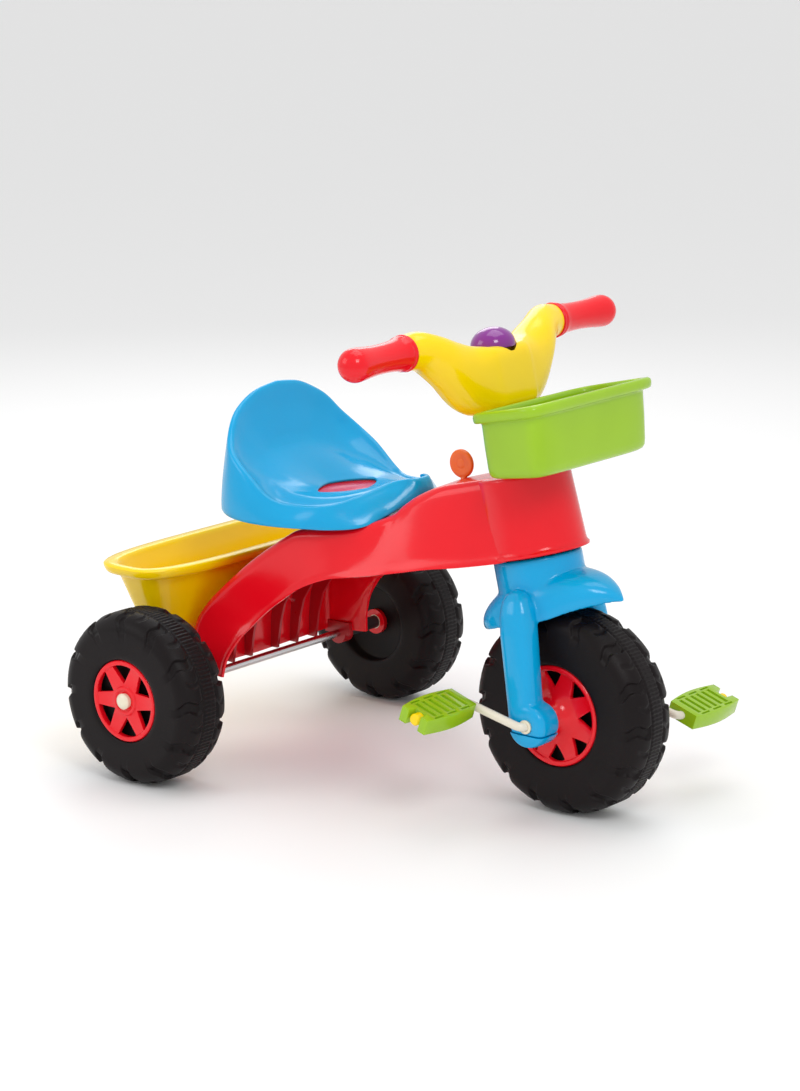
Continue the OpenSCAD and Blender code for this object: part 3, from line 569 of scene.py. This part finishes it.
# ------------------------------------------------------------------ ignition key
KEY = Matrix.Translation((74.5, 0, 366)) @ Matrix.Rotation(math.radians(-10), 4, "Y")
disc = lathe("disc", [
    (0, -2.6), (5, -2.6), (6, -2.2), (7, -2.6), (10.5, -2.6), (11.5, -3.0), (13.6, -3.0), (16, -2.4),
    (17, -1),
    (17, 1), (16, 2.4), (13.6, 3.0), (11.5, 3.0), (10.5, 2.6), (7, 2.6), (6, 2.2), (5, 2.6), (0, 2.6)],
    KEY @ Matrix.Translation((0, 0, 23)) @ TO_Y, 72)
neck = rings_mesh("neck", [
    [(a * math.cos(math.radians(t)), 2.6 * math.sin(math.radians(t)), z) for t in range(0, 360, 15)]
    for z, a in ((2, 4), (6, 4.4), (9, 6.5), (12, 10))], KEY)
stem = lathe("stem", [(0, -12.7), (3.6, -12.7), (4, -12), (4, 5), (3, 7), (0, 7)], KEY, 48)
key = joined("ignition_key_skin", [disc, neck, stem])
shade(key, 40)
place(key, ORANGE, "key", "orange", "ignition_key")

# ------------------------------------------------------------------ fork, mudguard and feet
# angle round the wheel, outer radius at the middle, half width and radius at the edges
FENDER = [
    (64, 157, 3, 154), (67, 161, 10, 150), (72, 165, 23, 141), (80, 168, 38, 129),
    (91, 168, 51, 116), (104, 167, 57, 112), (115, 164, 57, 113),
    (125, 159, 56, 118), (133, 153, 50, 124), (140, 146, 34, 132)]
grid = []
for k in catmull(FENDER, 60):
    ring = []
    for i in range(41):
        x, y = super_pt(k[2], k[1] - k[3], 2.6, 180 * i / 40)
        r, around = k[3] + y, math.radians(k[0])
        ring.append((FRONT[0] + r * math.cos(around), -x, FRONT[2] + r * math.sin(around)))
    grid.append(ring)
fender = sheet_mesh("fender_part", grid, WALL + 0.5)
crown = lathe("crown_part", [
    (13.5, 130), (17, 130), (17, 181), (47, 181), (47, 130), (49.5, 130), (52, 138), (52, 182), (50.5, 185),
    (13.5, 185)], STEER, 96)
parts = [fender, crown]
FOOT_IN, FOOT_OUT = 57.0, 93.0
FOOT_MID = (FOOT_IN + FOOT_OUT) / 2
SAW = [(-50, 40), (50, 40), (50, 104), (-50, 104)]
# height up the leg, offset forward, distance from the middle, half depth and half width
LEG = [
    (4, 0, 75, 20.5, 17.5), (30, 2, 73.5, 20.5, 18), (60, 4, 71.5, 21, 18.5), (105, 6, 67, 22, 19),
    (128, 6, 63, 21, 18), (142, 6, 61, 17, 14.5), (150, 6, 60, 11, 9), (153, 6, 59.5, 4, 3.5)]
for s in (1, -1):
    flip = mirror(s)
    leg = []
    for w, u, y, a, b in LEG:
        section = [super_pt(a, b, 2.4, 10 * t) for t in range(36)]
        leg.append([(x + u, across + y, w) for x, across in section])
    parts.append(rings_mesh("leg_part", leg, STEER @ flip))
    boss = lathe("boss_part", [
        (8, FOOT_IN), (20, FOOT_IN), (23.4, FOOT_IN + 2), (24.6, FOOT_IN + 6), (24.8, FOOT_MID),
        (24.6, FOOT_OUT - 7), (23.2, FOOT_OUT - 3), (20, FOOT_OUT - 0.7), (15, FOOT_OUT), (8, FOOT_OUT)],
        flip @ Matrix.Translation(FRONT) @ TO_Y, 72)
    saw = prism("saw", SAW, -60, -10, flip @ Matrix.Translation(FRONT))
    parts.append(cut(boss, saw))
fork = fused("fork_skin", parts, 1.7, 10)
bore = lathe("bore", [(0, -98), (8.05, -98), (8.05, 98), (0, 98)],
             Matrix.Translation(FRONT) @ TO_Y, 48)
fork = cut(fork, bore)
shade(fork, 50)
place(fork, BLUE, "steering", "blue", "fork_crown", "fender", "fork_leg_left", "fork_leg_right")

for s, name in SIDES:
    flip = mirror(s)
    cup = lathe("cup", [
        (0, FOOT_IN), (21, FOOT_IN), (24.4, FOOT_IN + 1.6), (25.9, FOOT_IN + 6), (26.2, FOOT_MID),
        (25.9, FOOT_OUT - 6), (24.4, FOOT_OUT - 1.6), (21, FOOT_OUT + 0.3), (0, FOOT_OUT + 0.3)],
        flip @ Matrix.Translation(FRONT) @ TO_Y, 96)
    saw = prism("saw", SAW, -10.6, 60, flip @ Matrix.Translation(FRONT))
    cup = bevelled(cut(cup, saw), 1.2, 3, 40)
    place(cup, BLUE, "steering", "blue", f"fork_foot_cap_{name}")

# ------------------------------------------------------------------ tyres
HALF, RECESS = 39.0, 16.0
LUG_DEPTH = 4.2
SHOULDER_R, SHOULDER_Y = 22, 26


def tyre(name, radius, hub, lugs, matrix, phase=0.0):
    """Moulded tyre: ribbed middle band, shoulder lugs with curved gaps cut between them, hub recess."""
    prof = [(12.0, HALF - RECESS), (hub - 1.2, HALF - RECESS), (hub, HALF - RECESS + 1.2), (hub, HALF - 3.5),
            (hub + 0.8, HALF - 1.2), (hub + 3, HALF - 0.3), (hub + 6, HALF)]
    prof += [(hub + 6 + (radius - SHOULDER_R - hub - 6) * t, HALF) for t in (0.25, 0.5, 0.75)]
    prof += [(radius - SHOULDER_R + SHOULDER_R * math.sin(math.radians(a)),
              HALF - SHOULDER_Y + SHOULDER_Y * math.cos(math.radians(a))) for a in np.linspace(0, 88, 26)]
    prof += [(radius, y) for y in (12.2, 11.4, 10.6, 9.4, 7, 4.5, 2, 0)]
    full = np.array(prof + [(r, -y) for r, y in prof[-2::-1]])
    tan = np.gradient(full, axis=0)
    # outward, so a depth is taken away along it and nothing passes the radius
    nrm = np.stack([-tan[:, 1], tan[:, 0]], 1)
    nrm /= np.maximum(np.linalg.norm(nrm, axis=1, keepdims=True), 1e-9)
    segs = 720
    th = np.arange(segs) / segs
    verts = []
    for (r, y), nv in zip(full, nrm):
        side = 1.0 if y >= 0 else -1.0
        ay = abs(y)
        depth = np.zeros(segs)
        if r > radius - 24 and ay > 12.5:
            v = (ay - 12.5) / (HALF - 12.5) if ay < HALF - 0.01 else 1.0
            v = v * 0.75 + 0.25 * np.clip((radius - r) / 24, 0, 1)
            wave = 0.07 * math.sin(2 * math.pi * (v * 1.1 + 0.05)) + 0.16 * v
            ph = (th * lugs + phase + wave + (0.5 if side < 0 else 0.0)) % 1.0
            gap = smooth(0.70, 0.75, ph) * (1 - smooth(0.94, 0.99, ph))
            reach = smooth(0, 1, (r - (radius - 24)) / 9) * smooth(0, 0.05, v)
            depth = depth + LUG_DEPTH * gap * reach
            notch = smooth(0.28, 0.33, ph) * (1 - smooth(0.40, 0.45, ph))
            depth = depth + 1.8 * notch * reach * (1 - smooth(0.35, 0.6, v))
        elif ay > 10.3 and r > radius - 3:
            depth = depth + 1.5
        elif r > radius - 3:
            rib = 0.5 + 0.5 * np.sin(2 * math.pi * th * lugs * 11)
            depth = depth + 1.0 * smooth(0.25, 0.6, rib) * (1.0 if ay > 1.0 else 0.6)
        rr, yy = r - depth * nv[0], y - depth * nv[1]
        a = 2 * math.pi * th
        verts += list(np.stack([rr * np.cos(a), np.full(segs, 1.0) * yy, rr * np.sin(a)], 1))
    return build(name, verts, grid_faces(len(full), segs, True, True), matrix, 50)


t = tyre("front_tyre_skin", FRONT[2], 60, 14, Matrix.Translation(FRONT), 0.3)
place(t, TYRE, "front_wheel", "black_tyre", "front_tyre")
for s, name in SIDES:
    at = Matrix.Translation((REAR_X, s * TRACK, REAR_Z))
    t = tyre(f"rear_tyre_{name}_skin", REAR_Z, 50, 12, at, 0.15)
    place(t, TYRE, f"rear_wheel_{name}", "black_tyre", f"rear_tyre_{name}")


# ------------------------------------------------------------------ hubs
def hub(name, windows, base, half, apex, profile, matrix, turned):
    """Lathed hub with wedge-shaped windows between its spokes."""
    o = lathe("hub_work", profile, None, 144)
    cutters = []
    for k in range(windows):
        a = math.radians(turned + 360 * k / windows)
        pts = []
        for x, y in ((base, -half), (base + 2.2, -half * 0.5), (base + 2.9, 0), (base + 2.2, half * 0.5),
                     (base, half), (base - 1.5, half - 0.3), (apex + 1.5, 1.6), (apex, 0.6), (apex, -0.6),
                     (apex + 1.5, -1.6), (base - 1.5, -half + 0.3)):
            pts.append((x * math.cos(a) - y * math.sin(a), x * math.sin(a) + y * math.cos(a)))
        cutters.append(prism("window", pts, 18, 60))
    o = moved(cut(o, joined("windows", cutters)), matrix @ TO_Y)
    o.name = name
    return bevelled(o, 0.7, 2, 35, 40)


for s, name in SIDES:
    flip = mirror(s)
    prof = [(9, 2), (12, 2), (12, 29), (49.7, 31), (49.7, 36), (48.6, 37.6), (46, 38), (43.8, 37.4),
            (42.8, 36), (30, 35.2), (19, 34.6), (18, 35), (17, 36.6), (15, 37), (13.5, 36.6),
            (12.5, 35.4), (11.5, 35), (10, 35), (9, 34.6)]
    o = hub(f"rear_hub_{name}_skin", 6, 41, 14.5, 21, prof,
            Matrix.Translation((REAR_X, s * TRACK, REAR_Z)) @ flip, 25)
    place(o, RED, f"rear_wheel_{name}", "red", f"rear_hub_outer_{name}")
    prof = [(5.2, 2), (12, 2), (12, 29), (59.7, 31), (59.7, 36), (58.4, 37.6), (56, 38), (54, 37.4),
            (53, 35.8), (44, 34.8), (34, 35.2), (27, 37), (22, 40.5), (18.5, 46), (16.6, 50.5), (14, 53),
            (5.2, 53)]
    o = hub(f"front_hub_{name}_skin", 8, 51, 11.5, 33, prof, Matrix.Translation(FRONT) @ flip, -4)
    place(o, RED, "front_wheel", "red", f"front_hub_{name}")
    cap = lathe(f"rear_cap_{name}_skin", [
        (0, 37.3), (9, 37.3), (9.6, 38), (9.6, 39.4), (9.0, 40.2), (7.4, 41.6), (5.2, 42.6), (2.6, 43),
        (0, 43)],
        Matrix.Translation((REAR_X, s * TRACK, REAR_Z)) @ flip @ TO_Y, 64)
    place(cap, IVORY, "frame", "ivory", f"rear_cap_nut_{name}")

# ------------------------------------------------------------------ crank rod and pedals
THROW, CRANK, TILT, ARM_Y, BEND = 82.0, math.radians(12), math.radians(18), 99.6, 10.0
PED_Y0, PED_L, PED_W, PED_T, NOTCH = 106.0, 90.0, 48.0, 18.0, 12.0


def crank_dir(s):
    return Vector((math.cos(CRANK), 0, -math.sin(CRANK))) * (1 if s > 0 else -1)


def bend_path(corner, a, b, radius, count=10):
    """Points of a round bend at corner between directions from a and to b."""
    d1, d2 = (a - corner).normalized(), (b - corner).normalized()
    p, q = corner + d1 * radius, corner + d2 * radius
    return [(1 - t) ** 2 * p + 2 * t * (1 - t) * corner + t * t * q for t in np.linspace(0, 1, count)]


rod = []
c = Vector(FRONT)
for s in (-1, 1):
    d, out = crank_dir(s), Vector((0, s, 0))
    end = c + d * THROW + out * (PED_Y0 + PED_L - NOTCH + 6)
    k1, k2 = c + out * ARM_Y, c + d * THROW + out * ARM_Y
    path = [end] + bend_path(k2, end, k1, BEND) + bend_path(k1, k2, c, BEND)
    rod += path if s < 0 else path[::-1]
crank = tube("crank_rod_skin", rod, 5.0, 24)
place(crank, CREAM, "front_wheel", "cream_rod", "crank_rod")


def rectangle(x0, y0, x1, y1):
    return [(x0, y0), (x1, y0), (x1, y1), (x0, y1)]


def pedal(name, s):
    """Pedal block with a waist notch at its outer end, tread slots on both faces and side slots on top."""
    w, h = PED_W / 2, PED_T / 2
    outline = [(w - 5 + 5 * math.sin(math.pi * k / 16), PED_L * k / 16) for k in range(17)]
    outline += [(9, PED_L), (8, PED_L - NOTCH), (-8, PED_L - NOTCH), (-9, PED_L)]
    outline += [(-x, y) for x, y in outline[16::-1]]
    o = prism("pedal_work", outline, -h, h)
    cuts = []
    for k in range(6):
        y = 10 + 11.5 * k
        for z0, z1 in ((h - 3.2, h + 2), (-h - 2, -h + 3.2)):
            cuts.append(prism("slot", rectangle(-w + 9, y, w - 9, y + 5.5), z0, z1))
    for x in (-w + 5.5, w - 5.5):
        for y in (20, 44, 68):
            cuts.append(prism("slot", rectangle(x - 1.4, y - 8, x + 1.4, y + 8), h - 2.5, h + 2))
    o = cut(o, joined("slots", cuts))
    spin = CRANK if s > 0 else math.pi + CRANK
    m = (mirror(s) @ Matrix.Translation(FRONT) @ Matrix.Rotation(spin, 4, "Y")
         @ Matrix.Translation((THROW, PED_Y0, 0)) @ Matrix.Rotation(-spin + TILT, 4, "Y"))
    moved(o, m)
    o.name = name
    return bevelled(o, 1.0, 2, 35, 40)


for s, name in SIDES:
    place(pedal(f"pedal_{name}_skin", s), GREEN, f"pedal_{name}", "green", f"pedal_{name}")

# ------------------------------------------------------------------ CAD nodes shown as they are
KEPT = {
    # frame_ribs under the body and the key_socket recess take the darker red as painted shade
    "frame_ribs": (RED_PAINTED_SHADE, "dark_red", 1.0), "key_socket": (RED_PAINTED_SHADE, "dark_red", 0.6),
    "head_bush_upper": (IVORY, "ivory", 0.5), "head_bush_lower": (IVORY, "ivory", 0.5),
    "seat_screws": (STEEL, "steel", 0.4), "rear_tub_screws": (STEEL, "steel", 0.4),
    "rear_axle": (STEEL, "steel", 0.4), "foot_cap_screws": (STEEL, "steel", 0.3),
    "crank_bush_left": (IVORY, "ivory", 0.3), "crank_bush_right": (IVORY, "ivory", 0.3),
    "steering_column": (STEEL, "steel", 0.3), "handlebar_bolt": (STEEL, "steel", 0.4),
    "basket_screws": (STEEL, "steel", 0.4), "horn_spring": (STEEL, "steel", 0.2),
    "front_hub_screws": (STEEL, "steel", 0.3), "pedal_cap_left": (YELLOW, "yellow", 0.5),
    "pedal_cap_right": (YELLOW, "yellow", 0.5), "rear_hub_inner_left": (RED, "red", 0.6),
    "rear_hub_inner_right": (RED, "red", 0.6), "rear_bush_left": (IVORY, "ivory", 0.3),
    "rear_bush_right": (IVORY, "ivory", 0.3), "axle_spacer_left": (DARK, "grey", 0.4),
    "axle_spacer_right": (DARK, "grey", 0.4)}
for n, (material, slot, width) in KEPT.items():
    o = NODES[n]
    o.data.materials.clear()
    o.data.materials.append(material)
    o.data.polygons.foreach_set("use_smooth", [True] * len(o.data.polygons))
    o.data.set_sharp_from_angle(angle=math.radians(35))

# ------------------------------------------------------------------ stage, light, camera
world = bpy.data.worlds.new("studio")
bpy.context.scene.world = world
world.use_nodes = True
world.node_tree.nodes["Background"].inputs["Color"].default_value = (1, 1, 1, 1)
world.node_tree.nodes["Background"].inputs["Strength"].default_value = 0.8
bpy.context.scene.view_settings.view_transform = "Standard"

floor_mat = bpy.data.materials.new("floor_white")
floor_mat.use_nodes = True
fb = floor_mat.node_tree.nodes["Principled BSDF"]
fb.inputs["Base Color"].default_value = (0.95, 0.95, 0.95, 1)
fb.inputs["Roughness"].default_value = 0.6
verts = [(-50000, -50000, 0), (50000, -50000, 0), (50000, 50000, 0), (-50000, 50000, 0)]
floor = build("floor", verts, [(0, 1, 2, 3)])
floor.data.materials.append(floor_mat)


def area(name, pos, target, size, power, size_y=None):
    light = bpy.data.lights.new(name, "AREA")
    light.energy = power
    light.size = size
    if size_y:
        light.shape = "RECTANGLE"
        light.size_y = size_y
    o = bpy.data.objects.new(name, light)
    bpy.context.scene.collection.objects.link(o)
    o.location = pos
    o.rotation_euler = (Vector(target) - Vector(pos)).to_track_quat("-Z", "Y").to_euler()
    return o


area("key_light", (1.7, -1.2, 2.0), (0, 0, 0.25), 0.8, 15)
area("fill_light", (-1.5, -2.0, 1.5), (0, 0, 0.25), 1.2, 9)
area("top_light", (0.0, 0.3, 2.4), (0, 0, 0.2), 1.6, 13)
area("rim_light", (-1.6, 1.6, 1.6), (0, 0, 0.3), 1.2, 9)

cam_data = bpy.data.cameras.new("camera")
cam = bpy.data.objects.new("camera", cam_data)
bpy.context.scene.collection.objects.link(cam)
bpy.context.scene.camera = cam
CAMERA_AT, LENS, FILM = (2.3459, -2.9330, 1.1955), 107.12, 36.0
az, el = math.radians(38.92), math.radians(13.714)
back = Vector((math.sin(az) * math.cos(el), -math.cos(az) * math.cos(el), math.sin(el)))
cam.location = CAMERA_AT
cam.rotation_euler = (-back).to_track_quat("-Z", "Y").to_euler()
cam_data.sensor_fit = "VERTICAL"
cam_data.sensor_height = FILM
cam_data.lens = LENS
cam_data.clip_end = 200
